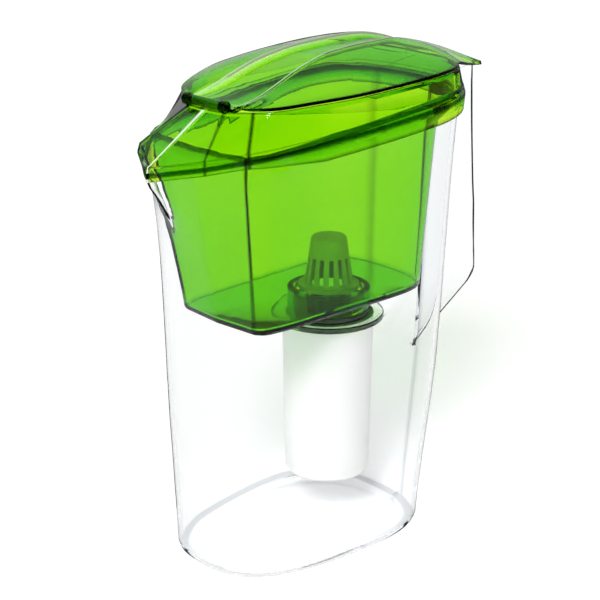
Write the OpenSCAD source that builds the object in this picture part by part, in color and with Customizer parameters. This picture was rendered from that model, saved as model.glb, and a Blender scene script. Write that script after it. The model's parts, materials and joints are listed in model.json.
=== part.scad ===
// Water filter pitcher with a flip lid, in millimetres.
// +Z is up, the spout points along -X, the handle along +X, and the origin is the middle of
// the jug's flat underside. The clear jug carries a green funnel, which hangs on the jug's
// rim. The lid frame lies on the funnel's flange, the flip cover turns on two stub pins at the
// front of the frame, and the filter cartridge is screwed up into the funnel's floor.

/* [Jug] */
// Length of the jug's underside, along X
base_length = 148; // [140:1:156]
// Width of the jug's underside, along Y
base_width = 107; // [103:1:112]
// Thickness of the jug's wall
jug_wall = 2.4; // [1.8:0.1:3]
// Thickness of the jug's floor
jug_floor = 3.6; // [2.6:0.1:5]
// Height at which the front wall starts to lean out into the spout
shoulder_height = 180; // [170:1:190]
// How far the jug grows towards the handle, from the underside to the shoulder
belly = 12; // [9:0.5:14]
// Height of the rim above the middle of the underside
rim_height = 248; // [244:1:251]
// Slope of the rim, which rises towards the handle, in degrees
rim_tilt = 6.3; // [5.3:0.1:7]

/* [Spout] */
// Distance from the middle of the jug to the tip of the spout
spout_reach = 99; // [95:1:102]
// Width of the flat tip of the spout
spout_tip = 14; // [12:1:18]

/* [Handle] */
// Width of the hollow handle
grip_width = 43; // [38:1:46]
// Distance from the middle of the jug to the top of the handle's back
grip_reach = 130; // [126:1:134]
// How far the handle's back leans out towards its lower end
grip_lean = 10; // [6:1:12]
// Height of the lower end of the handle's back
grip_low = 134; // [128:1:142]

/* [Funnel] */
// Thickness of the funnel's wall
funnel_wall = 2; // [1.6:0.1:2.4]
// Height of the funnel's underside
funnel_bottom = 143; // [140:1:147]
// Gap between the funnel's mouth and the outside of the jug's rim, on each side
funnel_gap = 5; // [4.5:0.5:8]
// How far each side of the funnel draws in from its mouth to its floor
funnel_taper = 10.5; // [8:0.5:13]
// Thickness of the flange on which the funnel hangs
flange_thickness = 2; // [1.6:0.1:2.4]

/* [Lid] */
// Thickness of the lid frame
lid_wall = 2; // [1.6:0.1:2.4]
// Height of the lid frame's upper edge above the jug's rim
lid_height = 23; // [21:0.5:25]
// How far the widest edge of the lid frame drops at the bow over the spout
bow_drop = 3; // [2:0.5:4]
// Thickness of the flip cover
cover_wall = 2; // [1.6:0.1:2.4]
// Height of the flip cover's two creases above the lid frame's upper edge, at their highest
crease_rise = 15; // [13:0.5:18]
// Height of the middle of the deck above its creases
crown = 2.6; // [1.5:0.1:3.5]

/* [Hinge] */
// Radius of the flip cover's stub pins
pin_radius = 1.6; // [1.3:0.1:1.9]
// Radial running clearance of the stub pins
pin_clearance = 0.06; // [0.03:0.01:0.1]
// Radius of the hinge ears and the hinge barrel
barrel_radius = 3.4; // [3:0.1:3.8]

/* [Cartridge] */
// Distance of the cartridge's axis from the middle of the jug
cartridge_x = 27; // [24:1:30]
// Radius of the cartridge's body below its flange
shell_radius = 26.6; // [25.6:0.2:28]
// Height of the cartridge's underside
cartridge_bottom = 30; // [26:1:36]
// Radius of the cartridge's flange
collar_radius = 32.5; // [31:0.5:34]
// Radius of the threaded neck, measured over the thread
neck_radius = 20.4; // [19:0.2:20.8]
// Radial running clearance of the neck in its socket
neck_clearance = 0.08; // [0.04:0.01:0.1]
// Height of the strainer above the neck
strainer_height = 30; // [25:1:33]
// Number of slots round the strainer
strainer_slots = 14; // [10:1:16]

/* [Hidden] */
$fn = 96;

// How far every plane that lies parallel to the rim rises per millimetre along X
slope = tan(rim_tilt);
// How much wider the plan gets per millimetre towards the handle
widening = 0.0018;
// Points round one ring of a jug, funnel or lid skin
ring_points = 72;
// Play that lets the skins be cut through their end faces
past = 1;
// Distance between a lifted piece and the wall beside it
play = 0.6;

// Half sizes of the jug's rim: front, rear and side
rim_front = base_length / 2 + 6;
rim_rear = base_length / 2 + belly + 5;
rim_side = base_width / 2 + 0.5;
// How far the spout stands out of the rim's rounded front
spout_out = spout_reach - rim_front;
// Distance from the middle plane at which the spout's sides start
spout_root = 37;
// Radius of the rounded edge round the jug's underside
base_round = 5;

// Half sizes of the funnel's mouth, just below the flange
mouth_front = rim_front - 14;
mouth_rear = rim_rear - 7;
mouth_side = rim_side - funnel_gap;
// Gap between two tilted faces that lie on each other
seat_gap = 0.1;
// Underside of the lid frame's ledge above the jug's rim
ledge_low = flange_thickness + 2 * seat_gap;
// How far the lid frame's skirt hangs below the jug's rim
skirt_depth = 3;
// Foremost place of the flange, behind which the spout channel stays open
flange_front = mouth_front + 4;

// Half sizes of the oval upper edge of the lid frame: front, rear and side
oval_front = rim_front - 17;
oval_rear = rim_rear - 8;
oval_side = rim_side + 3.5;
oval_square = 2.6;
oval_middle = (oval_rear - oval_front) / 2;
// Place behind the oval at which the flip cover's edge starts to drop towards its tail
tail_start = oval_rear + 1.5;
oval_length = (oval_rear + oval_front) / 2;
// Height of the lid frame's upper edge at the middle of the jug
oval_height = rim_height + lid_height;
// Gap between the lid frame's upper edge and the closed flip cover
cover_gap = 0.4;

// Axis of the hinge in the X-Z plane, and the faces of its ears along Y
hinge_x = 1 - oval_front;
hinge_z = oval_height + slope * hinge_x + 1.6;
ear_inner = 12.6;
ear_outer = 16.4;

// Levels of the flip cover's creases at the hinge and at their highest place
crease_front = hinge_z + 1.6;
crease_top = oval_height + crease_rise;
// Half widths of the cover's front end and of its tail, and the end of the tail
nose_side = ear_inner + 1.4;
tail_side = grip_width / 2;
tail_end = grip_reach + 1;

// Levels of the cartridge, from its flange down to its underside
flange_low = funnel_bottom - 16.5;
flange_high = flange_low + 3.5;
seal_height = 2;
socket_low = flange_high + seal_height;
neck_top = funnel_bottom + 2;
socket_radius = 23.7;
neck_wall = 6;
bore_radius = shell_radius - 3.4;
bed_radius = bore_radius - 0.05;
lip_height = 1.2;
grille_height = 2.4;
mesh_height = 1;
felt_height = 2;
spigot_low = flange_low - 8;
bed_low = cartridge_bottom + lip_height + grille_height + mesh_height;
bed_high = spigot_low - mesh_height;
bed_middle = (bed_low + bed_high) / 2;

// Distance from the middle of a superellipse to its edge, in the direction of an angle
function reach(angle, half_length, half_width, square) =
    pow(pow(abs(cos(angle)) / half_length, square)
        + pow(abs(sin(angle)) / half_width, square), -1 / square);

// Share of the spout at a distance y from the middle plane: 1 across its tip, 0 at its root
function spout_share(y) =
    pow(max(0, spout_root - max(abs(y), spout_tip / 2)) / (spout_root - spout_tip / 2), 2);

// One ring of a skin, anticlockwise from above. Its level is taken at the middle of the jug.
function ring(level, tilt, front, rear, side, square, spout = 0, lift = 0) = [
    for (i = [0:ring_points - 1])
        let (angle = 360 * i / ring_points,
            out = reach(angle, (rear + front) / 2, side, square),
            plain = (rear - front) / 2 + out * cos(angle),
            y = out * sin(angle) * (1 + widening * plain),
            share = plain < 0 ? spout_share(y) : 0,
            x = plain - spout * share)
        [x, y, level + tilt * x + lift * share]
];

// The ring of the jug's rim, grown sideways and moved upwards
function rim_ring(up, grow, lift = 0) =
    ring(rim_height + up, slope, rim_front + grow, rim_rear + grow, rim_side + grow, 4,
        spout_out, lift);

// The ring of the lid frame's oval upper edge, grown sideways and moved upwards
function oval_ring(up, grow) =
    ring(oval_height + up, slope, oval_front + grow, oval_rear + grow, oval_side + grow,
        oval_square);

// A solid between rings of equal point counts, closed at its first and last ring
module loft(rings) {
    count = len(rings[0]);
    last = len(rings) - 1;
    points = [for (r = rings) each r];
    first_face = [for (i = [0:count - 1]) i];
    last_face = [for (i = [count - 1:-1:0]) last * count + i];
    side_faces = [
        for (j = [0:last - 1])
            for (i = [0:count - 1])
                let (next = (i + 1) % count)
                [j * count + i, (j + 1) * count + i, (j + 1) * count + next, j * count + next]
    ];
    polyhedron(points = points, faces = concat([first_face], side_faces, [last_face]),
        convexity = 8);
}

// The jug's body without the handle, drawn in by an inset, from its floor to above its rim
module jug_body(inset, floor_level, over) {
    front = base_length / 2 - inset;
    side = base_width / 2 - inset;
    tilt = slope / 3;
    lean_level = (shoulder_height + rim_height) / 2;
    loft([
        ring(floor_level, 0, front - base_round, front - base_round, side - base_round, 2.7),
        ring(floor_level + 0.3 * base_round, 0, front - 0.3 * base_round,
            front - 0.3 * base_round, side - 0.3 * base_round, 2.7),
        ring(floor_level + base_round, 0, front, front, side, 2.7),
        ring(shoulder_height / 3, 0, front + 1, front + belly / 2, side + 0.2, 2.9),
        ring(shoulder_height * 2 / 3, 0, front + 1.5, front + belly * 0.8, side + 0.3, 3.2),
        ring(shoulder_height, 0, front + 1.5, front + belly, side + 0.4, 3.6),
        ring(lean_level, tilt, front + 3, front + belly + 1, side + 0.4, 3.8, spout_out / 4),
        rim_ring(over, -inset)
    ]);
}

// One ring of the handle: straight sides from the jug's inside, and a rounded back
function grip_ring(back_level, tilt, back, side) =
    let (round = side * 0.45, root = base_length / 2 - 16)
    [
        for (p = concat(
            [[root, -side]],
            [for (a = [-90:18:0]) [back - round + round * cos(a), round - side + round * sin(a)]],
            [for (a = [0:18:90]) [back - round + round * cos(a), side - round + round * sin(a)]],
            [[root, side]]))
            [p.x, p.y, back_level + tilt * (p.x - back)]
    ];

// The hollow handle, drawn in by an inset, with a sloped underside
module grip(inset, over) {
    side = grip_width / 2 - inset;
    low_back = grip_reach + grip_lean - inset;
    high_back = grip_reach - inset;
    underside_tilt = 0.53;
    edge = 5;
    loft([
        grip_ring(grip_low - edge + inset, underside_tilt, low_back - edge, side - edge / 2),
        grip_ring(grip_low + inset, underside_tilt, low_back, side),
        grip_ring(rim_height + over + slope * high_back, slope, high_back, side)
    ]);
}

// The clear jug with its spout and its hollow handle
module jug() {
    color([0.93, 0.95, 0.96, 0.35])
    difference() {
        union() {
            jug_body(0, 0, 0);
            grip(0, 0);
        }
        jug_body(jug_wall, jug_floor, past);
        grip(jug_wall, past);
    }
}

// The funnel's tapered body, drawn in by an inset, from its floor to above its flange
module funnel_body(inset, floor_level, over) {
    side = mouth_side - funnel_taper - inset;
    front = mouth_front - 8 - inset;
    rear = mouth_rear - 9 - inset;
    neck_level = rim_height - 16;
    loft([
        ring(floor_level, 0, front - 1.5, rear - 1.5, side - 1.5, 5),
        ring(floor_level + 3, 0, front, rear, side, 5),
        ring(neck_level, slope, mouth_front - 2 - inset, mouth_rear - 3 - inset,
            mouth_side - 3 - inset, 4.5),
        ring(rim_height + over, slope, mouth_front - inset, mouth_rear - inset,
            mouth_side - inset, 4.5)
    ]);
}

// The green funnel that holds the unfiltered water, with the cartridge's socket in its floor
module funnel() {
    color([0.3, 0.75, 0.1, 0.6])
    difference() {
        union() {
            funnel_body(0, funnel_bottom, seat_gap + flange_thickness / 2);
            // The flange lies on the jug's rim and stays clear of the spout channel
            intersection() {
                loft([rim_ring(seat_gap, play), rim_ring(seat_gap + flange_thickness, play)]);
                translate([-flange_front, -base_width, 0])
                    cube([2 * base_length, 2 * base_width, 2 * rim_height]);
            }
            translate([cartridge_x, 0, socket_low])
                cylinder(h = funnel_bottom - socket_low + past, r = socket_radius);
        }
        funnel_body(funnel_wall, funnel_bottom + 1.5 * funnel_wall, flange_thickness + past);
        translate([cartridge_x, 0, socket_low - past])
            cylinder(h = funnel_bottom, r = neck_radius + neck_clearance);
    }
}

// The lid frame's skin, drawn in by an inset: skirt, widest edge, bow and oval upper edge
module frame_body(inset, under, over) {
    skirt_grow = play + 2 - inset;
    widest_grow = play + 2.8 - inset;
    loft([
        rim_ring(-skirt_depth - under, skirt_grow),
        rim_ring(3.5, widest_grow, -bow_drop),
        oval_ring(over, -inset)
    ]);
}

// A cylinder across the jug, centred on the hinge's axis
module across(radius, from, to) {
    translate([hinge_x, to, hinge_z])
        rotate([90, 0, 0])
        cylinder(h = to - from, r = radius);
}

// The lid frame: a sloped collar with an oval opening, a keeled bow and two hinge ears
module lid_frame() {
    arch_width = 11;
    arch_depth = 30;
    arch_base = rim_height - slope * spout_reach + 0.5;
    color([0.25, 0.7, 0.05, 0.7])
    difference() {
        union() {
            difference() {
                frame_body(0, 0, 0);
                frame_body(lid_wall, past, past);
                // The skirt is cut away where the handle joins the rim
                intersection() {
                    loft([rim_ring(-skirt_depth - past, 6), rim_ring(play, 6)]);
                    translate([0, -grip_width / 2 - play, 0])
                        cube([2 * base_length, grip_width + 2 * play, 2 * rim_height]);
                }
            }
            // The ledge that lies on the funnel's flange
            intersection() {
                difference() {
                    loft([rim_ring(ledge_low, 1.4), rim_ring(ledge_low + flange_thickness, 1)]);
                    loft([
                        for (up = [0, 3 * flange_thickness])
                            ring(rim_height + up, slope, mouth_front, mouth_rear, mouth_side, 4.5)
                    ]);
                }
                translate([-flange_front, -base_width, 0])
                    cube([2 * base_length, 2 * base_width, 2 * rim_height]);
            }
            across(barrel_radius, ear_inner, ear_outer);
            across(barrel_radius, -ear_outer, -ear_inner);
        }
        // Room for the barrel between the ears, and the bores of the stub pins
        across(barrel_radius + play, -ear_inner, ear_inner);
        across(pin_radius + pin_clearance, -ear_outer - past, ear_outer + past);
        // The pouring arch in the tip of the bow
        translate([-spout_reach, 0, arch_base])
            rotate([0, -90, 0])
            linear_extrude(height = arch_depth, center = true)
            union() {
                translate([arch_width / 2, 0])
                    circle(d = arch_width);
                translate([0, -arch_width / 2])
                    square([arch_width / 2, arch_width]);
            }
    }
}

// Place of a station x along the cover: 0 at the hinge, 1 at the end of the tail
function along(x) = (x - hinge_x) / (tail_end - hinge_x);

// Height and half width of the flip cover's creases at a station x
function crease_level(x) = crease_front + (crease_top - crease_front) * lookup(along(x), [
    [0, 0], [0.06, 0.08], [0.12, 0.2], [0.18, 0.36], [0.26, 0.65], [0.36, 0.9], [0.49, 0.99],
    [0.57, 1], [0.65, 0.97], [0.72, 0.88], [0.76, 0.84], [0.84, 0.52], [1, -0.12]
]);
function crease_side(x) = tail_side * lookup(along(x), [
    [0, 0.6], [0.06, 0.83], [0.18, 0.86], [0.26, 0.79], [0.36, 0.69], [0.49, 0.64],
    [0.65, 0.61], [0.84, 0.74], [1, 0.95]
]);

// Height and half width of the flip cover's lower edge at a station x
function seated_level(x) = oval_height + slope * x + cover_gap + cover_wall;
function edge_level(x) = x < tail_start
    ? seated_level(x)
    : lookup(along(x), [
        [along(tail_start), seated_level(tail_start)], [0.84, oval_height],
        [0.91, oval_height - 4], [1, oval_height - 7]
    ]);
function edge_side(x) =
    let (share = min(1, abs(x - oval_middle) / oval_length),
        oval = oval_side * pow(1 - pow(share, oval_square), 1 / oval_square))
    max(oval * (1 + widening * x), x > oval_middle ? tail_side : nose_side);

// Upper line of the cover's section at a station, from the near edge to the far edge
function upper_line(x) =
    let (edge = [edge_side(x), edge_level(x)], crease = [crease_side(x), crease_level(x)])
    [
        [-edge.x, edge.y], [-crease.x, crease.y], [0, crease.y + crown],
        [crease.x, crease.y], [edge.x, edge.y]
    ];

// A closed section of the cover: its lower line, then its upper line backwards
function cover_section(x, depth) =
    let (line = upper_line(x))
    concat([for (p = line) [x, p.x, p.y - depth]],
        [for (i = [len(line) - 1:-1:0]) [x, line[i].x, line[i].y]]);

// Stations along X, close together where the oval edge turns in
stations = concat(
    [for (share = [0, 0.03, 0.07, 0.12, 0.2, 0.35, 0.5, 0.65, 0.8, 0.9, 0.95, 0.98])
        hinge_x + 0.5 + share * (oval_rear - hinge_x - 0.5)],
    [tail_start, oval_rear + 8],
    [for (share = [0.35, 0.65, 1]) oval_rear + share * (tail_end - oval_rear)]
);

// The flip cover: a creased deck, two flanks and a tail over the handle
module flip_cover() {
    color([0.3, 0.75, 0, 0.7])
    union() {
        difference() {
            union() {
                loft([for (x = stations) cover_section(x, cover_wall)]);
                across(barrel_radius, play - ear_inner, ear_inner - play);
            }
            // Room for the two ears
            across(barrel_radius + play, ear_inner - play / 2, ear_outer + play);
            across(barrel_radius + play, -ear_outer - play, play / 2 - ear_inner);
        }
        across(pin_radius, -ear_outer, ear_outer);
    }
}

// A round piece on the cartridge's axis, turned from an outline in the R-Z plane
module turned() {
    translate([cartridge_x, 0, 0])
        rotate_extrude()
        children();
}

// A disc on the cartridge's axis
module disc(radius, low, high) {
    translate([cartridge_x, 0, low])
        cylinder(h = high - low, r = radius);
}

// The rubber ring that is pressed between the socket and the cartridge's flange
module seal_ring() {
    color([0.2, 0.2, 0.2])
    turned()
        translate([neck_radius + 0.3, flange_high])
        square([socket_radius - neck_radius - 0.5, seal_height]);
}

// The cartridge's collar: a flange, the threaded neck above it and a spigot below it
module collar() {
    color([0.85, 0.95, 0.8, 0.8])
    turned()
        polygon([
            [bed_radius - 2, spigot_low], [bed_radius, spigot_low], [bed_radius, flange_low],
            [collar_radius - 0.6, flange_low], [collar_radius, flange_low + 0.6],
            [collar_radius, flange_high - 0.6], [collar_radius - 0.6, flange_high],
            [neck_radius, flange_high], [neck_radius, neck_top - 0.6],
            [neck_radius - 0.6, neck_top], [neck_radius - neck_wall, neck_top],
            [neck_radius - neck_wall, flange_high], [bed_radius - 2, flange_low]
        ]);
}

// The slotted strainer that stands on the neck
module strainer() {
    base_radius = neck_radius - 3;
    foot = 2;
    low_radius = 14;
    top_radius = 10.2;
    wall = 1.6;
    slot_width = 2.6;
    slot_height = strainer_height / 2;
    color([0.7, 0.85, 0.1])
    difference() {
        turned()
            polygon([
                [low_radius - wall, neck_top], [base_radius, neck_top],
                [base_radius, neck_top + foot], [low_radius, neck_top + foot],
                [top_radius, neck_top + strainer_height - 1],
                [top_radius - 1, neck_top + strainer_height], [0, neck_top + strainer_height],
                [0, neck_top + strainer_height - wall],
                [top_radius - wall, neck_top + strainer_height - wall],
                [low_radius - wall, neck_top + foot]
            ]);
        for (i = [0:strainer_slots - 1])
            translate([cartridge_x, 0, neck_top + foot + 1.5])
                rotate(360 * i / strainer_slots)
                translate([top_radius - 2 * wall, -slot_width / 2, 0])
                cube([low_radius, slot_width, slot_height]);
    }
}

// The white shell of the cartridge: a tapered tube with a lip at its lower end
module shell() {
    taper = 1.5;
    color([0.95, 0.95, 0.94])
    turned()
        polygon([
            [bore_radius - 1.4, cartridge_bottom],
            [shell_radius - taper - 1.5, cartridge_bottom],
            [shell_radius - taper, cartridge_bottom + 1.5],
            [shell_radius, flange_low], [bore_radius, flange_low],
            [bore_radius, cartridge_bottom + lip_height],
            [bore_radius - 1.4, cartridge_bottom + lip_height]
        ]);
}

// The mesh disc over the upper bed
module upper_mesh() {
    color([0.9, 0.9, 0.88])
    disc(bed_radius, bed_high, spigot_low);
}

// The upper bed of resin beads
module resin_bed() {
    color([0.85, 0.75, 0.5])
    disc(bed_radius, bed_middle + felt_height / 2, bed_high);
}

// The felt disc that keeps the two beds apart
module felt_disc() {
    color([0.8, 0.8, 0.78])
    disc(bed_radius, bed_middle - felt_height / 2, bed_middle + felt_height / 2);
}

// The lower bed of carbon granules
module carbon_bed() {
    color([0.12, 0.12, 0.12])
    disc(bed_radius, bed_low, bed_middle - felt_height / 2);
}

// The mesh disc under the lower bed
module lower_mesh() {
    color([0.9, 0.9, 0.88])
    disc(bed_radius, bed_low - mesh_height, bed_low);
}

// The slotted disc that closes the cartridge from below
module grille() {
    low = cartridge_bottom + lip_height;
    slot_width = 2;
    slot_pitch = 5;
    color([0.93, 0.93, 0.92])
    difference() {
        disc(bed_radius, low, low + grille_height);
        for (i = [-3:3])
            translate([cartridge_x + i * slot_pitch - slot_width / 2, 0, low - past])
                linear_extrude(height = grille_height + 2 * past)
                translate([0, -sqrt(pow(bed_radius - 5, 2) - pow(i * slot_pitch, 2))])
                square([slot_width, 2 * sqrt(pow(bed_radius - 5, 2) - pow(i * slot_pitch, 2))]);
    }
}

jug();
funnel();
lid_frame();
flip_cover();
seal_ring();
collar();
strainer();
shell();
upper_mesh();
resin_bed();
felt_disc();
carbon_bed();
lower_mesh();
grille();
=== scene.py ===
"""Water filter pitcher with a flip lid: the looks, built as a Blender add-on around the frame.

Places and lengths are in millimetres until they go into a mesh. The spout points to -X, the
handle to +X, and the pitcher stands on Z = 0.
"""
import functools
import json
import math

import bmesh
import bpy
from bpy.props import FloatProperty, FloatVectorProperty, PointerProperty
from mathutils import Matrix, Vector


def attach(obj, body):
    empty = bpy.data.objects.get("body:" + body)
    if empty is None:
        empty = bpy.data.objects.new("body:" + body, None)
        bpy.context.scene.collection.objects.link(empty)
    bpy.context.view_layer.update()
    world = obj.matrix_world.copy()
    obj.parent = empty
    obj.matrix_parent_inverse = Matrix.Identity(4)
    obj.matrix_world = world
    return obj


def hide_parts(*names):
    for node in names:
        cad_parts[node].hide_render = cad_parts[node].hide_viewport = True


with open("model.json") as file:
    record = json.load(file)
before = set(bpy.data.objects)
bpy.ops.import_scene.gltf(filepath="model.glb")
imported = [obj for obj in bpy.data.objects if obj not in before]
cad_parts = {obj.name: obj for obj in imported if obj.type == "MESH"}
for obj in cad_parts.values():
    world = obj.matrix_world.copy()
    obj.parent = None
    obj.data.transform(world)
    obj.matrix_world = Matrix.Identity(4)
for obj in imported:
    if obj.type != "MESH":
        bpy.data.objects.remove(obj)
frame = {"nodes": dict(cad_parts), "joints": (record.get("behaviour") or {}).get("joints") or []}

bl_info = {
    "name": "Water filter pitcher",
    "version": (1, 0, 0),
    "blender": (4, 5, 0),
    "location": "View3D > Sidebar > Pitcher",
    "description": "Builds the jug, the funnel, the lid and the filter cartridge",
    "category": "Object",
}

MM = 0.001
FULL_TURN = 2 * math.pi
WHITE = (1, 1, 1, 1)

# The rims of jug, funnel and lid rise towards the handle by this slope
RIM_SLOPE = math.tan(math.radians(6.3))

# The flip cover turns about the frame's own hinge
HINGE = Vector(next(j for j in frame["joints"] if j["name"] == "cover_flip")["pos_m"]) / MM


# Sizes and colours that a user would change

def length(name, default, description):
    """A size of the pitcher, kept in metres, from its default in millimetres."""
    return FloatProperty(name=name, description=description, default=default * MM, min=0.0, unit="LENGTH")


def tint(name, colour, description):
    """A colour of the pitcher."""
    return FloatVectorProperty(name=name, description=description, default=colour, min=0.0, max=1.0,
                               subtype="COLOR")


class PitcherSizes(bpy.types.PropertyGroup):
    """What can be set before the pitcher is built."""

    jug_wall: length("Jug wall", 2.3, "Thickness of the clear jug's wall")
    funnel_wall: length("Funnel wall", 1.9, "Thickness of the green funnel's wall")
    lid_wall: length("Lid wall", 2.0, "Thickness of the lid frame's collar")
    cover_wall: length("Cover wall", 2.0, "Thickness of the flip cover")
    deck_depth: length("Deck depth", 3.2, "How far the flip cover's deck lies below its two creases")
    curtain_depth: length("Curtain depth", 10.0, "How far the lid frame reaches down inside its oval opening")
    # The tone that runs in from a moulded edge is painted shade, or a painted glowing highlight where it is
    # pale.
    edge_width: length("Edge width", 1.7, "How far the tone of a moulded edge runs into the wall beside it")
    clear: tint("Clear", (0.985, 0.987, 0.99), "Surface colour of the jug")
    green: tint("Green", (0.81, 0.95, 0.02), "Colour that light takes on inside the green plastic")
    pale: tint("Pale", (0.86, 0.95, 0.82), "Surface colour of the cartridge's collar")
    lime: tint("Lime", (0.38, 0.44, 0.05), "Colour of the strainer")
    white: tint("White", (0.8, 0.8, 0.79), "Colour of the cartridge's shell and grille")
    clear_depth: FloatProperty(
        name="Clear depth", description="How fast clear plastic darkens with depth, per metre",
        default=25.0, min=0.0)
    green_depth: FloatProperty(
        name="Green depth", description="How fast green plastic darkens with depth, per metre",
        default=1700.0, min=0.0)


def settings():
    """The sizes and colours of the pitcher in the scene."""
    return bpy.context.scene.pitcher


def size(name):
    """One of the pitcher's sizes in millimetres."""
    return getattr(settings(), name) / MM


# Lines and outlines

def mix(a, b, t):
    """The value that lies t of the way from a to b."""
    return a + (b - a) * t


def share(x, start, end):
    """How far x has come from start to end, between 0 and 1."""
    return min(1.0, max(0.0, (x - start) / (end - start)))


def ramp(x, stops):
    """Linear interpolation in a list of (x, value) stops."""
    if x <= stops[0][0]:
        return stops[0][1]
    for (x0, v0), (x1, v1) in zip(stops, stops[1:]):
        if x <= x1:
            return mix(v0, v1, (x - x0) / (x1 - x0))
    return stops[-1][1]


def spread(line, count):
    """count + 1 places evenly spread along a line of places."""
    run = [0.0]
    for a, b in zip(line, line[1:]):
        run.append(run[-1] + (b - a).length)
    out = []
    j = 0
    for k in range(count + 1):
        want = run[-1] * k / count
        while j < len(run) - 2 and run[j + 1] < want:
            j += 1
        span = run[j + 1] - run[j] or 1.0
        out.append(line[j].lerp(line[j + 1], min(1.0, (want - run[j]) / span)))
    return out


def spline(points, count, steps=24):
    """A smooth curve through points, as count + 1 places evenly spread along it."""
    pts = [Vector(p) for p in points]
    pts = [2 * pts[0] - pts[1]] + pts + [2 * pts[-1] - pts[-2]]
    fine = []
    for a, b, c, d in zip(pts, pts[1:], pts[2:], pts[3:]):
        for k in range(steps):
            t = k / steps
            fine.append(0.5 * (2 * b + (c - a) * t + (2 * a - 5 * b + 4 * c - d) * t * t
                               + (3 * b - a - 3 * c + d) * t ** 3))
    fine.append(pts[-2])
    return spread(fine, count)


def edged(line, count):
    """Evenly spread places along a line, its first and last step as short as a moulded edge."""
    step = size("edge_width")
    out = spread(line, count)
    out[1] = out[0] + (out[1] - out[0]).normalized() * step
    out[-2] = out[-1] + (out[-2] - out[-1]).normalized() * step
    return out


def circle(centre, radius, count, across=False):
    """Places on a circle that lies flat, or on one that stands across the pitcher."""
    turns = [FULL_TURN * k / count for k in range(count)]
    if across:
        return [centre + Vector((radius * math.cos(a), 0, radius * math.sin(a))) for a in turns]
    return [centre + Vector((radius * math.cos(a), radius * math.sin(a), 0)) for a in turns]


def whole(near_half):
    """A closed outline from its near half, which runs from the front to the back at Y = 0."""
    far = [Vector((p.x, -p.y, *p[2:])) for p in near_half[-2:0:-1]]
    return list(near_half) + far


def drawn_in(outline, amount):
    """The outline moved inwards by an amount, square to its own direction in plan."""
    out = []
    count = len(outline)
    for i, p in enumerate(outline):
        along = outline[(i + 1) % count] - outline[i - 1]
        side = Vector((-along.y, along.x)).normalized()
        q = p.copy()
        q.x += side.x * amount
        q.y += side.y * amount
        out.append(q)
    return out


def between(a, b, t):
    """A ring that lies t of the way from ring a to ring b."""
    return [p.lerp(q, t) for p, q in zip(a, b)]


def lifted(ring, amount):
    """A ring raised by an amount."""
    return [p + Vector((0, 0, amount)) for p in ring]


def at_level(ring, z):
    """A ring laid flat at a level."""
    return [Vector((p.x, p.y, z)) for p in ring]


# Meshes

def painted_edge_layer(bm):
    """The layer of painted light on moulded edges: how much painted shade (1) darkens an edge, or how
    strongly a painted glowing highlight (-1) covers it.
    """
    # The attribute named edge holds this painted shade and painted highlight.
    return bm.verts.layers.float.get("edge") or bm.verts.layers.float.new("edge")


def place_ring(bm, places):
    """A closed ring of vertices with its edges, made as a circle and moved into place."""
    ring = bmesh.ops.create_circle(bm, segments=len(places), radius=1.0)["verts"]
    for v, p in zip(ring, places):
        v.co = p * MM
    return ring


def line_edges(verts):
    """The edges that join vertices in order."""
    return [next(e for e in a.link_edges if e.other_vert(a) is b) for a, b in zip(verts, verts[1:])]


def ring_edges(ring):
    """The edges that join the vertices of a closed ring in order."""
    return line_edges(ring + ring[:1])


def next_line(bm, verts, edges, places):
    """Extrudes edges into a band and moves the vertices of its new side into place."""
    made = bmesh.ops.extrude_edge_only(bm, edges=edges)["geom"]
    fresh = {v for v in made if isinstance(v, bmesh.types.BMVert)}
    out = [next(e.other_vert(v) for e in v.link_edges if e.other_vert(v) in fresh) for v in verts]
    for v, p in zip(out, places):
        v.co = p * MM
    return out


def next_ring(bm, ring, places):
    """Extrudes a closed ring into a band and moves its new side into place."""
    return next_line(bm, ring, ring_edges(ring), places)


def tone(ring, layer, along=0.0, columns=None):
    """Gives a ring its painted edge shade or highlight value, and single places of it their own where that is
    stronger.
    """
    for i, v in enumerate(ring):
        across = (columns or {}).get(i, 0.0)
        v[layer] = across if abs(across) > abs(along) else along


def loft(bm, plan, columns=None, first_cap=False, last_cap=False, closed=False):
    """A skin over (ring, painted edge shade) pairs, with flat caps or joined back to its first ring; columns
    carry their own painted shade or highlight.
    """
    layer = painted_edge_layer(bm)
    start, value = plan[0]
    first = ring = place_ring(bm, start)
    tone(first, layer, value, columns)
    for places, along in plan[1:]:
        ring = next_ring(bm, ring, places)
        tone(ring, layer, along, columns)
    if closed:
        last = next_ring(bm, ring, start)
        tone(last, layer, value, columns)
        bmesh.ops.weld_verts(bm, targetmap=dict(zip(last, first)))
    if first_cap:
        bmesh.ops.contextual_create(bm, geom=first)
    if last_cap:
        bmesh.ops.contextual_create(bm, geom=ring)


def add_pin(bm, start, end, radius, rounding, edge):
    """A round pin on the hinge line, from start to end along Y, with rounded rims; edge is the painted shade
    over the whole pin.
    """
    step = math.copysign(rounding, end - start)
    low = radius - rounding
    plan = [(start, low), (start + step, radius), (end - step, radius), (end, low)]
    loft(bm, [(circle(Vector((HINGE.x, y, HINGE.z)), r, 32, across=True), edge) for y, r in plan],
         first_cap=True, last_cap=True)


def finished(name, bm, surface, sharp=None):
    """Turns a mesh into an object in the scene with its normals out, smooth but for sharp edges."""
    bmesh.ops.recalc_face_normals(bm, faces=bm.faces)
    mesh = bpy.data.meshes.new(name)
    bm.to_mesh(mesh)
    bm.free()
    if sharp:
        mesh.shade_smooth()
        mesh.set_sharp_from_angle(angle=math.radians(sharp))
    obj = bpy.data.objects.new(name, mesh)
    bpy.context.scene.collection.objects.link(obj)
    mesh.materials.append(surface)
    return obj


def skin(node, bm, surface, body, sharp):
    """The piece that stands for a CAD node and rides on its body."""
    obj = finished(node + "_skin", bm, surface, sharp)
    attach(obj, body)
    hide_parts(node)


# Shader maths

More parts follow.
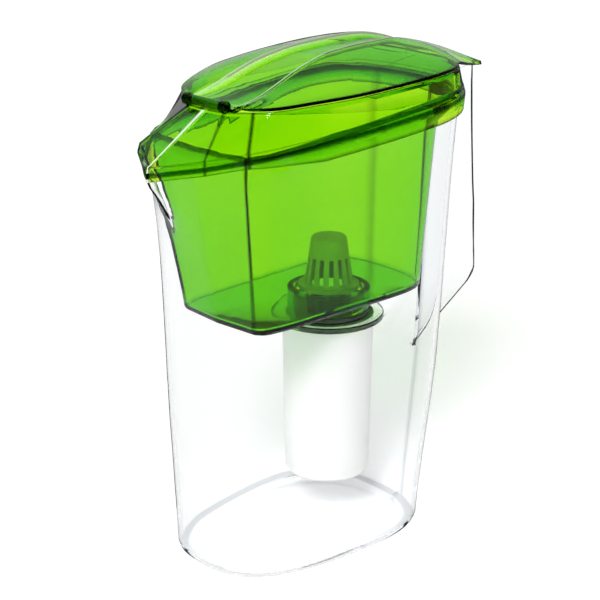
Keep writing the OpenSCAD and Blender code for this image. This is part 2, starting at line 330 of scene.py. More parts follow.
class Sock:
    """One socket of a node tree, so that shader maths reads as plain expressions."""

    def __init__(self, tree, socket=None):
        self.tree = tree
        self.socket = socket

    def node(self, kind, settings=None, inputs=None, output=0):
        """Any other node: its settings first, then its sockets' values or links."""
        made = self.tree.nodes.new(kind)
        for key, value in (settings or {}).items():
            setattr(made, key, value)
        for key, value in (inputs or {}).items():
            if isinstance(value, Sock):
                self.tree.links.new(value.socket, made.inputs[key])
            else:
                made.inputs[key].default_value = value
        return Sock(self.tree, made.outputs[output])

    def _math(self, kind, a, b, clamp=False):
        return self.node("ShaderNodeMath", {"operation": kind, "use_clamp": clamp}, {0: a, 1: b})

    def __add__(self, other):
        return self._math("ADD", self, other)

    def __radd__(self, other):
        return self._math("ADD", other, self)

    def __sub__(self, other):
        return self._math("SUBTRACT", self, other)

    def __rsub__(self, other):
        return self._math("SUBTRACT", other, self)

    def __mul__(self, other):
        return self._math("MULTIPLY", self, other)

    def __rmul__(self, other):
        return self._math("MULTIPLY", other, self)

    def positive(self):
        """The value between 0 and 1, and 0 where it is negative."""
        return self._math("MAXIMUM", self, 0.0, clamp=True)

    def blend(self, a, b):
        """The colour that lies this share of the way from colour a to colour b."""
        return self.node("ShaderNodeMix", {"data_type": "RGBA"}, {0: self, 6: (*a, 1), 7: (*b, 1)}, 2)

    def either(self, a, b):
        """Shader a where this is 0 and shader b where it is 1."""
        return self.node("ShaderNodeMixShader", {}, {0: self, 1: a, 2: b})

    def smooth_range(self, low, high, start, end):
        """A smooth step from start to end while this runs from low to high."""
        return self.node("ShaderNodeMapRange", {"interpolation_type": "SMOOTHSTEP"}, {
            "Value": self, "From Min": low, "From Max": high, "To Min": start, "To Max": end}, "Result")


def ray(s, kind):
    """1 for rays of a kind, such as Camera or Shadow."""
    return s.node("ShaderNodeLightPath", output=f"Is {kind} Ray")


def surface_noise(s, scale, detail=2.0):
    """Slow noise over an object's own coordinates."""
    where = s.node("ShaderNodeTexCoord", output="Object")
    return s.node("ShaderNodeTexNoise", {}, {"Vector": where, "Scale": scale, "Detail": detail}, "Fac")


def bumped(s, height, strength, distance):
    """A normal that follows a height."""
    return s.node("ShaderNodeBump", {}, {
        "Height": height, "Strength": strength, "Distance": distance}, "Normal")


def new_material(name):
    """An empty node material: the material, its start socket and its output node."""
    mat = bpy.data.materials.new(name)
    mat.use_nodes = True
    tree = mat.node_tree
    tree.nodes.clear()
    return mat, Sock(tree), tree.nodes.new("ShaderNodeOutputMaterial")


# Materials

def see_through(name, colour, edge, shadow, ior, inside, density):
    """See-through moulded plastic: soft ripples, tinted depth, painted shade in the edge colour where moulded
    edges are dark, and a painted glowing highlight where they are pale.
    """
    mat, s, out = new_material(name)
    normal = bumped(s, surface_noise(s, 18.0), 0.02, 0.002)
    haze = surface_noise(s, 55.0) * 0.02 + 0.01
    # Painted shade: where the edge layer is positive, the base colour darkens towards the edge colour.
    painted_edge_light = s.node("ShaderNodeAttribute", {"attribute_name": "edge"}, output="Fac")
    body = s.node("ShaderNodeBsdfPrincipled", {}, {
        "Base Color": painted_edge_light.positive().blend(colour, edge), "Roughness": haze, "IOR": ior,
        "Transmission Weight": 1.0, "Normal": normal}, "BSDF")
    # Painted highlight: where the edge layer is negative, an opaque pale surface that glows by its own
    # emission takes the place of the plastic.
    glint = s.node("ShaderNodeBsdfPrincipled", {}, {
        "Base Color": (0.93, 0.98, 0.86, 1), "Roughness": 0.3,
        "Emission Color": (0.8, 1.0, 0.6, 1), "Emission Strength": 0.45}, "BSDF")
    solid = (0.0 - painted_edge_light).positive().either(body, glint)
    let_by = s.node("ShaderNodeBsdfTransparent", {}, {"Color": (*shadow, 1)}, "BSDF")
    s.tree.links.new(ray(s, "Shadow").either(solid, let_by).socket, out.inputs["Surface"])
    depth = s.node("ShaderNodeVolumeAbsorption", {}, {"Color": (*inside, 1), "Density": density})
    s.tree.links.new(depth.socket, out.inputs["Volume"])
    return mat


def opaque(name, colour, rough, bump, grain, drift=0.04):
    """Opaque matter with a grain of its own and a slow drift of its colour."""
    mat, s, out = new_material(name)
    fine = surface_noise(s, grain, 4.0)
    darker = [c * (1 - drift) for c in colour]
    lighter = [min(1, c * (1 + drift)) for c in colour]
    body = s.node("ShaderNodeBsdfPrincipled", {}, {
        "Base Color": surface_noise(s, 12.0).blend(darker, lighter),
        "Roughness": fine * 0.1 + rough, "Normal": bumped(s, fine, bump, 0.0005)}, "BSDF")
    s.tree.links.new(body.socket, out.inputs["Surface"])
    return mat


def clear_plastic():
    """The jug's clear plastic, with painted grey shade along its moulded edges."""
    # The edge colour is the grey of painted shade, standing in for the dark refraction at the jug's edges.
    return see_through("clear_plastic", tuple(settings().clear), edge=(0.5, 0.51, 0.53),
                       shadow=(0.93, 0.93, 0.935), ior=1.15,
                       inside=(0.82, 0.86, 0.88), density=settings().clear_depth)


def green_plastic():
    """The green plastic of funnel, lid frame and cover, with near-black painted shade at its moulded edges.
    """
    # The near-black edge colour is painted shade for the dark refraction at moulded edges, partly also the
    # greater depth of green plastic along them.
    return see_through("green_plastic", (0.97, 1.0, 0.9), edge=(0.004, 0.03, 0.004),
                       shadow=(0.72, 0.76, 0.68), ior=1.22,
                       inside=tuple(settings().green), density=settings().green_depth)


def pale_plastic():
    """The collar's pale green plastic."""
    colour = tuple(settings().pale)
    return see_through("pale_plastic", colour, edge=colour, shadow=(0.85, 0.93, 0.8), ior=1.5,
                       inside=(0.7, 0.95, 0.6), density=60.0)


def lime_plastic():
    """The strainer's plastic."""
    return opaque("lime_plastic", tuple(settings().lime), rough=0.35, bump=0.05, grain=400.0)


def white_plastic():
    """The plastic of the cartridge's shell and grille."""
    return opaque("white_plastic", tuple(settings().white), rough=0.4, bump=0.05, grain=400.0)


def white_mesh():
    """The woven discs above and below the beds."""
    return opaque("white_mesh", (0.85, 0.85, 0.83), rough=0.7, bump=0.6, grain=1500.0)


def felt():
    """The felt disc between the beds."""
    return opaque("felt", (0.78, 0.78, 0.75), rough=0.9, bump=0.8, grain=900.0)


def resin_beads():
    """Amber beads, packed."""
    return opaque("resin_beads", (0.72, 0.56, 0.3), rough=0.5, bump=1.0, grain=1200.0, drift=0.2)


def carbon_granules():
    """Black granules, packed."""
    return opaque("carbon_granules", (0.03, 0.03, 0.03), rough=0.8, bump=1.0, grain=700.0, drift=0.4)


def black_rubber():
    """The seal ring's rubber."""
    return opaque("black_rubber", (0.04, 0.04, 0.04), rough=0.6, bump=0.2, grain=600.0)


@functools.cache
def made_once(maker):
    """The material of a maker, made at its first use."""
    return maker()


# Jug

JUG_FRONT_POINTS = 110
HANDLE_POINTS = 50
HANDLE_HALF = 21.5
HANDLE_CORNER = 9.5
HANDLE_BULGE = 0.8
SPOUT_ROOT = 37.0
SPOUT_TIP = 5.0
BODY_TAPER = 0.0018
JUG_FLOOR = 3.6
FOOT_WIDTH = 3.0
FOOT_HEIGHT = 0.9
LIP_HEIGHT = 0.3
LIP_ROUNDING = 0.5
LOWEST_INNER = 3

# From the underside to the rim: level, reach to the front, to the rear and to a side,
# squareness, reach of the spout, share of the rim's slope, and the handle as its back,
# its lean and how far its sides stand in
JUG_LEVELS = [
    (0.0, 68.5, 68.5, 48.0, 2.7, 0, 0, None),
    (0.5, 71.5, 71.5, 51.0, 2.7, 0, 0, None),
    (1.6, 73.2, 73.2, 52.7, 2.7, 0, 0, None),
    (4.0, 74.0, 74.2, 53.5, 2.7, 0, 0, None),
    (20, 74.3, 75.5, 53.7, 2.75, 0, 0, None),
    (40, 74.8, 77.5, 53.8, 2.85, 0, 0, None),
    (60, 75.2, 79.5, 53.9, 2.95, 0, 0, None),
    (80, 75.5, 81.5, 54.0, 3.1, 0, 0, None),
    (98, 75.6, 83.0, 54.1, 3.2, 0, 0, None),
    (99, 75.6, 83.1, 54.1, 3.2, 0, 0, (134.5, 0.60, 3.5)),
    (100.5, 75.6, 83.1, 54.1, 3.2, 0, 0, (137.6, 0.60, 1.2)),
    (103.5, 75.6, 83.2, 54.1, 3.25, 0, 0, (139.0, 0.60, 0)),
    (120, 75.7, 84.0, 54.1, 3.3, 0, 0, (138.4, 0.52, 0)),
    (140, 75.8, 85.0, 54.2, 3.4, 0, 0, (137.3, 0.43, 0)),
    (160, 76.0, 85.6, 54.2, 3.5, 0, 0, (136.6, 0.34, 0)),
    (178, 76.3, 86.0, 54.3, 3.6, 0.3, 0.1, (135.0, 0.26, 0)),
    (195, 77.0, 86.4, 54.4, 3.7, 2.0, 0.3, (133.6, 0.20, 0)),
    (210, 77.8, 86.8, 54.6, 3.8, 6.0, 0.5, (132.4, 0.16, 0)),
    (224, 78.8, 87.4, 54.9, 3.9, 12.0, 0.7, (131.4, 0.13, 0)),
    (236, 79.6, 88.6, 54.5, 4.0, 18.0, 0.88, (130.6, 0.115, 0)),
    (244, 79.6, 90.0, 54.2, 4.0, 21.0, 0.96, (130.2, RIM_SLOPE, 0)),
    (250, 79.2, 91.0, 54.0, 4.0, 22.5, 1.0, (130.0, RIM_SLOPE, 0)),
]


def reach(angle, length, width, square):
    """Distance from the middle of a superellipse to its edge."""
    return (abs(math.cos(angle) / length) ** square
            + abs(math.sin(angle) / width) ** square) ** (-1 / square)


def spout_share(y):
    """1 at the tip of the spout, falling to 0 at its root."""
    return max(0.0, (SPOUT_ROOT - max(abs(y), SPOUT_TIP)) / (SPOUT_ROOT - SPOUT_TIP)) ** 1.6


def handle_line(root, back, inset):
    """The handle's U in plan, from its root on one side of the jug to its root on the other."""
    side, r = HANDLE_HALF - inset, HANDLE_CORNER
    turns = [math.pi / 20 * k for k in range(11)]
    bow = [k / 8 for k in range(1, 8)]
    line = [(root.x, root.y + inset), (back - r, -side)]
    line += [(back - r + r * math.sin(a), -side + r - r * math.cos(a)) for a in turns[1:]]
    line += [(back + HANDLE_BULGE * math.sin(math.pi * t), mix(-side + r, side - r, t)) for t in bow]
    line += [(back - r + r * math.cos(a), side - r + r * math.sin(a)) for a in turns[:-1]]
    line += [(back - r, side), (root.x, -root.y - inset)]
    return spread([Vector((x, y, 0)) for x, y in line], HANDLE_POINTS)[:-1]


def jug_outline(z, front, rear, side, square, spout, slope, handle):
    """The jug's outline at a level, with the handle's U at its back, anticlockwise from the back."""
    length, middle = (front + rear) / 2, (rear - front) / 2

    def body(angle):
        r = reach(angle, length, side, square)
        x = middle + r * math.cos(angle)
        y = r * math.sin(angle) * (1 + BODY_TAPER * x)
        if x < 0:
            x -= spout * spout_share(y)
        return Vector((x, y, z + slope * RIM_SLOPE * x))

    turn, high = 0.05, 1.4
    for _ in range(40):
        guess = (turn + high) / 2
        turn, high = (guess, high) if body(guess).y < HANDLE_HALF else (turn, guess)
    front_run = FULL_TURN - 2 * turn
    places = [body(turn + front_run * k / JUG_FRONT_POINTS) for k in range(JUG_FRONT_POINTS)]
    if not handle:
        return places + [body(-turn + 2 * turn * k / HANDLE_POINTS) for k in range(HANDLE_POINTS)]
    root = body(-turn)
    back, lean, inset = handle
    for p in handle_line(root, back, inset):
        places.append(Vector((p.x, p.y, root.z + lean * (p.x - root.x))))
    return places


def build_jug():
    """The clear jug: one skin from its underside over the rim and down its inside."""
    thick = size("jug_wall")
    outer = [jug_outline(*level) for level in JUG_LEVELS]
    inner = [drawn_in(ring, thick) for ring in outer[:LOWEST_INNER - 1:-1]]
    under = at_level(drawn_in(outer[0], FOOT_WIDTH), FOOT_HEIGHT)
    lip = lifted(drawn_in(outer[-1], LIP_ROUNDING), LIP_HEIGHT)
    lip_in = lifted(drawn_in(outer[-1], thick - LIP_ROUNDING), LIP_HEIGHT)
    floor = [at_level(drawn_in(outer[2], thick), JUG_FLOOR + 1.0),
             at_level(drawn_in(outer[0], thick), JUG_FLOOR)]
    # The edge values paint grey shade on the foot, on the lip and along the two lines where the handle meets
    # the body.
    plan = [(under, 0), (outer[0], 0.8), (outer[1], 0.9)] + [(ring, 0) for ring in outer[2:]]
    plan += [(lip, 0.7), (lip_in, 0.7)] + [(ring, 0) for ring in inner + floor]
    bm = bmesh.new()
    loft(bm, plan, columns={0: 0.7, JUG_FRONT_POINTS: 0.7}, first_cap=True, last_cap=True)
    skin("jug", bm, made_once(clear_plastic), "jug", sharp=40)


# Funnel

FUNNEL_FRONT_POINTS = 14
FUNNEL_SIDE_POINTS = 70
FUNNEL_BOTTOM = 143.0
FUNNEL_FLOOR = 3.0
KNEE_OUTSIDE = 145.2
KNEE_INSIDE = 147.6
NECK_LEVEL = 236.0
FLARE_LEVEL = 244.0
FLANGE_LEVEL = 250.2
MOUTH_LEVEL = 252.0
FUNNEL_RINGS = 11
FLANGE_THICKNESS = 1.8
SOCKET_X = 27.0
SOCKET_POINTS = 96
SOCKET_RADIUS = 23.7
SOCKET_BORE = 20.55
SOCKET_BOTTOM = 131.0

# Keel, front corner, places along the side and back of the funnel at its floor, below its
# flange, under its flange and at the flange's edge
FLOOR_PLAN = (-58.6, (-56.2, -28.2), [
    (-52.5, -32.8), (-46, -34.8), (-30, -36.6), (-8, -37.2), (15, -38), (38, -39), (55, -38.6),
    (66, -35.5), (73, -27), (76, -14)], 76.8)
NECK_PLAN = (-71.0, (-67.7, -36.6), [
    (-61, -38.5), (-54, -41.5), (-32, -43.3), (-8, -44.6), (18, -46.2), (42, -47.2), (58, -46.5),
    (70, -42), (78, -32), (81.5, -16)], 82.5)
RIM_SIDES = [
    (-62, -42), (-55, -45), (-32, -48.4), (-8, -50.2), (20, -52.2), (46, -53.2), (62, -52.4),
    (75, -47.5), (83, -36), (86, -18)]
RIM_PLAN = (-71.6, (-68.4, -37.3), RIM_SIDES, 87)
MOUTH_PLAN = (-71.8, (-68.6, -37.5), RIM_SIDES, 87.6)
FLANGE_PLAN = (-72.2, (-69, -38.4), [
    (-66, -40.0), (-58, -45), (-33, -50.2), (-8, -52.6), (20, -54.8), (48, -56.2), (66, -55.2),
    (80, -49.5), (87, -37), (90, -19)], 91)


def funnel_outline(plan, z, slope=1.0):
    """A ring of the funnel: a keeled front, a front corner, a long side and a round back."""
    keel, corner, sides, back = plan
    front = edged([Vector((keel, 0)), Vector(corner)], FUNNEL_FRONT_POINTS)
    turn = edged(spline([corner, *sides, (back, 0)], 140), FUNNEL_SIDE_POINTS)
    return [Vector((p.x, p.y, z + slope * RIM_SLOPE * p.x)) for p in whole(front[:-1] + turn)]


def funnel_level(z, t):
    """A ring of the funnel's body: t runs from 0 at the floor to 1 below the flange."""
    (keel_0, corner_0, sides_0, back_0), (keel_1, corner_1, sides_1, back_1) = FLOOR_PLAN, NECK_PLAN

    def meet(a, b):
        return mix(a[0], b[0], t), mix(a[1], b[1], t)

    plan = (mix(keel_0, keel_1, t), meet(corner_0, corner_1),
            [meet(a, b) for a, b in zip(sides_0, sides_1)], mix(back_0, back_1, t))
    return funnel_outline(plan, z, slope=t)


def add_socket(bm, low, high):
    """Closes the funnel's floor around the socket that takes the cartridge."""
    def ring_at(radius, z):
        return circle(Vector((SOCKET_X, 0, z)), radius, SOCKET_POINTS)

    outside = place_ring(bm, ring_at(SOCKET_RADIUS, FUNNEL_BOTTOM))
    inside = place_ring(bm, ring_at(SOCKET_BORE, FUNNEL_BOTTOM + FUNNEL_FLOOR))
    for edges, ring, up in ((low, outside, -1), (high, inside, 1)):
        bmesh.ops.triangle_fill(bm, use_beauty=True, edges=edges + ring_edges(ring), normal=(0, 0, up))
    rim = [(SOCKET_RADIUS, 1.2), (SOCKET_RADIUS - 0.4, 0), (SOCKET_BORE + 0.35, 0), (SOCKET_BORE, 0.4)]
    ring = outside
    for radius, rise in rim:
        ring = next_ring(bm, ring, ring_at(radius, SOCKET_BOTTOM + rise))
    bmesh.ops.bridge_loops(bm, edges=ring_edges(ring) + ring_edges(inside))


def build_funnel():
    """The green funnel with its flange, its floor and the socket for the cartridge."""
    thick = size("funnel_wall")
    shares = [k / FUNNEL_RINGS for k in range(FUNNEL_RINGS + 1)]
    bottom = funnel_level(FUNNEL_BOTTOM, 0.0)
    knee = funnel_level(FUNNEL_BOTTOM + 0.5, 0.0)
    outer = [funnel_level(mix(KNEE_OUTSIDE, NECK_LEVEL, t), t) for t in shares[1:]]
    outer.insert(0, funnel_level(KNEE_OUTSIDE, 0.01))
    inner = [drawn_in(funnel_level(mix(KNEE_INSIDE, NECK_LEVEL, t), t or 0.02), thick) for t in shares[::-1]]
    floor_in = drawn_in(funnel_level(FUNNEL_BOTTOM + FUNNEL_FLOOR, 0.0), thick + 1.4)
    flare = funnel_outline(RIM_PLAN, FLARE_LEVEL)
    flange = funnel_outline(FLANGE_PLAN, FLANGE_LEVEL)
    mouth = drawn_in(funnel_outline(MOUTH_PLAN, MOUTH_LEVEL), 1.6)
    # The edge values paint near-black shade at the knee, on the flange and the mouth, and along the two front
    # corners.
    plan = [(drawn_in(bottom, 3.2), 0), (drawn_in(knee, 1.2), 1.0)] + [(ring, 0) for ring in outer]
    plan += [(flare, 0), (between(flare, flange, 0.8), 0), (flange, 0.9),
             (lifted(flange, FLANGE_THICKNESS), 0.9), (mouth, 0.6), (drawn_in(flare, thick), 0)]
    plan += [(ring, 0) for ring in inner + [floor_in]]
    bm = bmesh.new()
    loft(bm, plan, columns={FUNNEL_FRONT_POINTS: 1.0, len(bottom) - FUNNEL_FRONT_POINTS: 1.0})
    ends = [e for e in bm.edges if e.is_boundary]
    low = [e for e in ends if e.verts[0].co.z < (FUNNEL_BOTTOM + FUNNEL_FLOOR / 2) * MM]
    high = [e for e in ends if e not in low]
    add_socket(bm, low, high)
    skin("funnel", bm, made_once(green_plastic), "funnel", sharp=32)


# Lid frame

BOW_POINTS = 10
CORNER_POINTS = 9
LONG_SIDE_POINTS = 72
SKIRT_DEPTH = 8.6
EAR_RADIUS = 3.3
EAR_START = 12.6
EAR_END = 16.4

# The frame's lower edge: its level along X, its three front places and its long side
EDGE_LEVEL = [(-106, 233.5), (-66, 241.4), (-39, 245.4), (-2, 248.6), (22, 250.9), (43, 253.1),
              (57, 254.2), (75, 256.2), (97, 258.6)]
EDGE_FRONT = [(-102.3, 0, 233.5), (-86.5, -27.2, 239.2), (-66.1, -38, 241.4)]
EDGE_SIDES = [(-56, -43.6), (-39, -50.5), (-20, -53.2), (-2, -55.6), (22, -58.4), (43, -60.2),
              (58, -60.0), (73, -56.8), (86, -48.5), (93.5, -36), (96.5, -18), (97.0, 0)]

# The oval opening: its level along X, its three front places and its long side
OVAL_LEVEL = [(-64, 262.6), (-54, 263.8), (-38, 265.7), (-25, 267.2), (0, 269.2), (28, 271.0),
              (55, 272.4), (92, 273.9)]
OVAL_FRONT = [(-63.6, 0), (-62.4, -14), (-54.6, -28)]
OVAL_SIDES = [(-46, -38.5), (-30, -47.5), (-8, -56.2), (16, -60.0), (38, -61.1), (55, -60.4),
              (68, -57.0), (79, -49), (87, -35), (90.4, -17), (91.3, 0)]


def lid_ring(front, sides, levels, rise, grow):
    """A ring of the lid frame: the bow's tip, its side line, the front corner and the long side."""
    tip, side, corner = [Vector(p) + Vector((0, 0, rise)) for p in front]
    run = [corner] + [(x, y, ramp(x, levels) + rise) for x, y in sides]
    half = edged([tip, side], BOW_POINTS)[:-1]
    half += edged([side, corner], CORNER_POINTS)[:-1]
    half += edged(spline(run, 160), LONG_SIDE_POINTS)
    return drawn_in(whole(half), -grow)


def edge_ring(rise=0.0, grow=0.0):
    """A ring at the lid frame's widest edge, raised and grown."""
    return lid_ring(EDGE_FRONT, EDGE_SIDES, EDGE_LEVEL, rise, grow)


def oval_ring(rise=0.0, grow=0.0):
    """A ring at the edge of the oval opening, raised and grown."""
    front = [(x, y, ramp(x, OVAL_LEVEL)) for x, y in OVAL_FRONT]
    return lid_ring(front, OVAL_SIDES, OVAL_LEVEL, rise, grow)


def skirt_ring():
    """The skirt's lower edge, close under the bow and deeper along the sides."""
    return [Vector((p.x, p.y, mix(p.z, ramp(p.x, EDGE_LEVEL) - SKIRT_DEPTH, share(p.x, -66, -26))))
            for p in edge_ring(-3.0, -0.7)]


def curtain_ring():
    """The lower edge of the curtain inside the oval opening, which deepens behind the front."""
    depth = size("curtain_depth")
    return [Vector((p.x, p.y, p.z - depth * share(p.x, -50, 20))) for p in oval_ring(-1.2, -2.4)]


def build_lid_frame():
    """The lid frame: sloped collar, keeled bow over the spout, and a curtain below the oval edge."""
    thick = size("lid_wall")
    skirt, curtain, low = skirt_ring(), curtain_ring(), edge_ring(-0.8)
    skirt_in = drawn_in(skirt, 1.1)
    low_in = edge_ring(-0.6, -thick - 0.1)
    # The edge values paint near-black shade at the skirt's foot, along the widest edge and the collar's line,
    # on the oval rim and at the curtain's foot.
    plan = [
        (skirt, 0.8), (between(skirt, low, 0.22), 0), (between(skirt, low, 0.8), 0), (low, 0.9),
        (edge_ring(), 1.0), (edge_ring(1.5, -0.3), 1.0), (edge_ring(2.1, -0.5), 0),
        (edge_ring(3.6, -0.9), 0), (edge_ring(4.4, -1.1), 0.7), (edge_ring(4.9, -1.4), 0),
        (oval_ring(-0.5, 0.3), 0), (oval_ring(), 1.0), (oval_ring(0, -1.4), 0), (oval_ring(-0.5, -2.4), 0),
        (curtain, 0.35), (drawn_in(curtain, -1.4), 0), (oval_ring(-2.6, -1.0), 0),
        (edge_ring(4.2, -1.1 - thick), 0), (low_in, 0), (between(skirt_in, low_in, 0.3), 0), (skirt_in, 0.8)]
    around, side_line, corner = len(skirt), BOW_POINTS, BOW_POINTS + CORNER_POINTS
    bm = bmesh.new()
    # The columns paint shade down the bow's side lines and front corners, and a painted glowing highlight
    # along the keel at the bow's tip.
    loft(bm, plan, closed=True, columns={
        0: -0.9, side_line: 0.85, around - side_line: 1.0, corner: 1.0, around - corner: 1.0})
    # The ears carry painted shade.
    for side in (-1, 1):
        add_pin(bm, side * EAR_START, side * EAR_END, EAR_RADIUS, 0.5, edge=0.8)
    skin("lid_frame", bm, made_once(green_plastic), "lid", sharp=22)


# Flip cover

COVER_STATIONS = 72
COVER_SEAT = 2.3
FLANK_BULGE = 1.2
CREASE_WIDTH = 0.7
DECK_SLOPE = 4.0
BARREL_HALF = 12.0
BARREL_RADIUS = 2.6
PIN_START = 11.5
PIN_END = 16.8
PIN_RADIUS = 1.6

# The near crease from the hinge to the end of the tail, and the tail's near edge
CREASE = [(-60, -19.0, 264.9), (-51, -19.2, 266.6), (-39, -18.8, 270), (-28.5, -18.5, 274),
          (-11, -17, 280), (8.5, -14.8, 284.2), (21, -14.2, 285.3), (32, -13.8, 285.9),
          (48.5, -14, 286.2), (64, -13.2, 285.8), (80, -14.5, 282.8), (96, -16.8, 278.2),
          (112, -19.2, 272.2), (131, -21.2, 264.4)]
COVER_FRONT = [(-59.5, -20.6), (-54.6, -28.5)]
TAIL_EDGE = [(90, -40.5, 272.6), (104, -33, 269), (118, -26.5, 265.6), (131.2, -21.9, 262.6)]

# Where a section's flank has its places, from the edge to the crease, and the painted edge light of each
# place of half a section: painted shade at the cover's edge, a painted glowing highlight where negative
FLANK_SHARES = (0, 0.03, 0.2, 0.4, 0.6, 0.8, 0.96)
HALF_PAINTED_EDGE_LIGHT = [1.0, 0.2, 0, 0, 0, 0, 0, -0.35, -0.35, 0, 0]


def cover_section(crease, edge):
    """A section across the cover: near flank, crease, sunk deck, crease and far flank."""
    deep = size("deck_depth") * min(share(crease.x, -60, -30), share(crease.x, 131, 81))
    half = [edge.lerp(crease, t) + Vector((0, 0, FLANK_BULGE * math.sin(math.pi * t)))
            for t in FLANK_SHARES]
    half += [crease, crease + Vector((0, CREASE_WIDTH, -0.1)), crease + Vector((0, DECK_SLOPE, -deep)),
             Vector((crease.x, crease.y * 0.35, crease.z - deep + 0.3))]
    far = [Vector((p.x, -p.y, p.z)) for p in half[::-1]]
    return half + [Vector((crease.x, 0, crease.z - deep + 0.4))] + far


def build_flip_cover():
    """The flip cover: a sunk deck between two creases, two flanks, the tail and the hinge's pins."""
    seat = [(x, y, ramp(x, OVAL_LEVEL) + COVER_SEAT) for x, y in COVER_FRONT + OVAL_SIDES[:8]]
    creases = spline(CREASE, COVER_STATIONS)
    edges = spline(seat + TAIL_EDGE, COVER_STATIONS)
    sections = [cover_section(c, e) for c, e in zip(creases, edges)]
    # Each section gets painted shade at the cover's two edges and a painted glowing highlight along its two
    # creases; the first and last sections get painted shade all across.
    values = HALF_PAINTED_EDGE_LIGHT + [0.0] + HALF_PAINTED_EDGE_LIGHT[::-1]
    bm = bmesh.new()
    layer = painted_edge_layer(bm)
    verts = [bm.verts.new(p * MM) for p in sections[0]]
    line = [bm.edges.new(pair) for pair in zip(verts, verts[1:])]
    tone(verts, layer, 0.8)
    for section in sections[1:]:
        verts = next_line(bm, verts, line, section)
        line = line_edges(verts)
        tone(verts, layer, columns=dict(enumerate(values)))
    tone(verts, layer, 0.8)
    bmesh.ops.recalc_face_normals(bm, faces=bm.faces)
    if sum(f.normal.z for f in bm.faces) < 0:
        bmesh.ops.reverse_faces(bm, faces=bm.faces)
    bmesh.ops.solidify(bm, geom=bm.faces[:], thickness=settings().cover_wall)
    # The barrel and pins carry painted shade, light on the barrel and dark on the pins.
    add_pin(bm, -BARREL_HALF, BARREL_HALF, BARREL_RADIUS, 0.4, edge=0.25)
    for side in (-1, 1):
        add_pin(bm, side * PIN_START, side * PIN_END, PIN_RADIUS, 0.3, edge=0.8)
    skin("flip_cover", bm, made_once(green_plastic), "cover", sharp=12)


# Cartridge and seal

WEAR = {
    "seal_ring": black_rubber,
    "collar": pale_plastic,
    "strainer": lime_plastic,
    "shell": white_plastic,
    "upper_mesh": white_mesh,
    "resin_bed": resin_beads,
    "felt_disc": felt,
    "carbon_bed": carbon_granules,
    "lower_mesh": white_mesh,
    "grille": white_plastic,
}


def dress_cartridge():
    """Gives the CAD nodes of the cartridge and its seal their materials."""
    for node, maker in WEAR.items():
        for slot in frame["nodes"][node].material_slots:
            slot.material = made_once(maker)


# Stage

LAMP_PLACE = (-0.9, -0.55, 0.95)
LAMP_STRENGTH = 1.5
LAMP_ANGLE = math.radians(16)
WORLD_STRENGTH = 0.4
FLOOR_HALF = 3.0
BRIGHT_SIDE = (0.66, 0.70, 0.26)
CAMERA_TARGET = Vector((0.0048, 0.0, 0.141))
CAMERA_AZIMUTH = math.radians(-43.5)
CAMERA_ELEVATION = math.radians(20.0)
CAMERA_DISTANCE = 0.857143


def aim(obj, target):
    """Turns a lamp or camera towards a place."""
    obj.rotation_euler = (Vector(target) - obj.location).to_track_quat("-Z", "Y").to_euler()


def build_floor():
    """A white floor that keeps the shadow and shows dark in reflections."""
    mat, s, out = new_material("floor_white")
    mirrored = ray(s, "Glossy") * (1 - ray(s, "Transmission"))
    shine = s.node("ShaderNodeEmission", {}, {"Color": WHITE, "Strength": 0.5 - mirrored * 0.48})
    tone_seen = mirrored.blend((0.8, 0.8, 0.8), (0.12, 0.12, 0.12))
    paint = s.node("ShaderNodeBsdfDiffuse", {}, {"Color": tone_seen})
    both = s.node("ShaderNodeAddShader", {}, {0: paint, 1: shine})
    s.tree.links.new(both.socket, out.inputs["Surface"])
    bm = bmesh.new()
    bmesh.ops.create_grid(bm, x_segments=8, y_segments=8, size=FLOOR_HALF)
    finished("floor", bm, mat)


def build_world():
    """A white background, dim light on the object and one bright side in reflections."""
    world = bpy.data.worlds.new("studio")
    bpy.context.scene.world = world
    world.use_nodes = True
    tree = world.node_tree
    tree.nodes.clear()
    s = Sock(tree)
    direction = s.node("ShaderNodeTexCoord", output="Generated")
    height = s.node("ShaderNodeSeparateXYZ", {}, {0: direction}, "Z")
    turned = s.node("ShaderNodeVectorMath", {"operation": "DOT_PRODUCT"},
                    {0: direction, 1: BRIGHT_SIDE}, "Value")
    seen, glossy, through = ray(s, "Camera"), ray(s, "Glossy"), ray(s, "Transmission")
    strength = ((1 - seen) * (1 - glossy) * WORLD_STRENGTH + seen
                + glossy * (1 - through) * turned.smooth_range(0.3, 0.8, 0.04, 0.6)
                + through * height.smooth_range(0.3, 0.8, 1.0, 0.25))
    back = s.node("ShaderNodeBackground", {}, {"Color": WHITE, "Strength": strength})
    tree.links.new(back.socket, tree.nodes.new("ShaderNodeOutputWorld").inputs["Surface"])


def build_lamp():
    """A soft sun from the front left."""
    data = bpy.data.lights.new("key", "SUN")
    data.energy = LAMP_STRENGTH
    data.angle = LAMP_ANGLE
    lamp = bpy.data.objects.new("key", data)
    lamp.location = LAMP_PLACE
    aim(lamp, (0, 0, 0))
    bpy.context.scene.collection.objects.link(lamp)


def build_camera():
    """The camera, in front and a little above."""
    data = bpy.data.cameras.new("camera")
    data.sensor_width = 36.0
    data.lens = 90.0
    camera = bpy.data.objects.new("camera", data)
    level = CAMERA_DISTANCE * math.cos(CAMERA_ELEVATION)
    camera.location = CAMERA_TARGET + Vector((
        level * math.sin(CAMERA_AZIMUTH), -level * math.cos(CAMERA_AZIMUTH),
        CAMERA_DISTANCE * math.sin(CAMERA_ELEVATION)))
    aim(camera, CAMERA_TARGET)
    bpy.context.scene.collection.objects.link(camera)
    bpy.context.scene.camera = camera


# Operators and panel

class PITCHER_OT_jug(bpy.types.Operator):
    """Builds the clear jug with its spout and handle"""
    bl_idname = "pitcher.jug"
    bl_label = "Jug"

    def execute(self, context):
        build_jug()
        return {"FINISHED"}


class PITCHER_OT_funnel(bpy.types.Operator):
    """Builds the green funnel with its flange and socket"""
    bl_idname = "pitcher.funnel"
    bl_label = "Funnel"

    def execute(self, context):
        build_funnel()
        return {"FINISHED"}


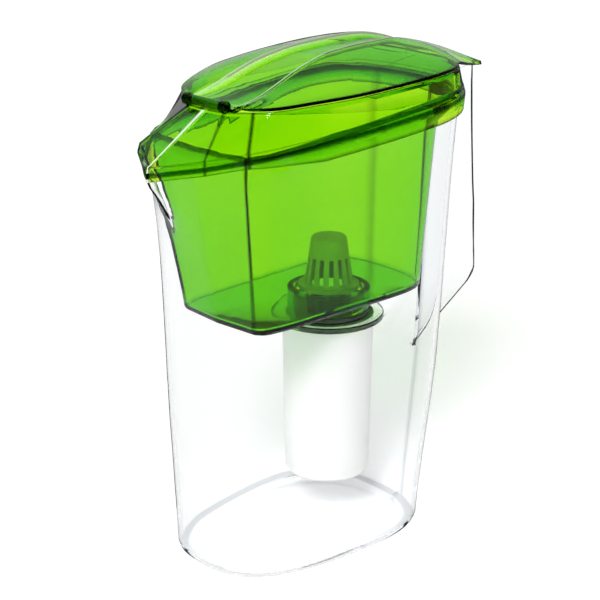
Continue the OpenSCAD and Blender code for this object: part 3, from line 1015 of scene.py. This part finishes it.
class PITCHER_OT_lid_frame(bpy.types.Operator):
    """Builds the lid frame with its ears"""
    bl_idname = "pitcher.lid_frame"
    bl_label = "Lid frame"

    def execute(self, context):
        build_lid_frame()
        return {"FINISHED"}


class PITCHER_OT_flip_cover(bpy.types.Operator):
    """Builds the flip cover with its tail and pins"""
    bl_idname = "pitcher.flip_cover"
    bl_label = "Flip cover"

    def execute(self, context):
        build_flip_cover()
        return {"FINISHED"}


class PITCHER_OT_cartridge(bpy.types.Operator):
    """Gives the filter cartridge and its seal their materials"""
    bl_idname = "pitcher.cartridge"
    bl_label = "Cartridge"

    def execute(self, context):
        dress_cartridge()
        return {"FINISHED"}


class PITCHER_OT_stage(bpy.types.Operator):
    """Builds the floor, the world, the lamp and the camera"""
    bl_idname = "pitcher.stage"
    bl_label = "Stage"

    def execute(self, context):
        context.scene.view_settings.view_transform = "Standard"
        build_floor()
        build_world()
        build_lamp()
        build_camera()
        return {"FINISHED"}


OPERATORS = [PITCHER_OT_jug, PITCHER_OT_funnel, PITCHER_OT_lid_frame, PITCHER_OT_flip_cover,
             PITCHER_OT_cartridge, PITCHER_OT_stage]


class PITCHER_PT_panel(bpy.types.Panel):
    """The pitcher's sizes, colours and steps"""
    bl_label = "Pitcher"
    bl_space_type = "VIEW_3D"
    bl_region_type = "UI"
    bl_category = "Pitcher"

    def draw(self, context):
        for name in PitcherSizes.__annotations__:
            self.layout.prop(context.scene.pitcher, name)
        for step in OPERATORS:
            self.layout.operator(step.bl_idname)


CLASSES = [PitcherSizes, *OPERATORS, PITCHER_PT_panel]


def register():
    """Registers the add-on."""
    for cls in CLASSES:
        bpy.utils.register_class(cls)
    bpy.types.Scene.pitcher = PointerProperty(type=PitcherSizes)


def unregister():
    """Takes the add-on away."""
    del bpy.types.Scene.pitcher
    for cls in reversed(CLASSES):
        bpy.utils.unregister_class(cls)


def main():
    """Builds everything in order."""
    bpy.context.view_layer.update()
    register()
    bpy.ops.pitcher.jug()
    bpy.ops.pitcher.funnel()
    bpy.ops.pitcher.lid_frame()
    bpy.ops.pitcher.flip_cover()
    bpy.ops.pitcher.cartridge()
    bpy.ops.pitcher.stage()


if __name__ == "__main__":
    main()
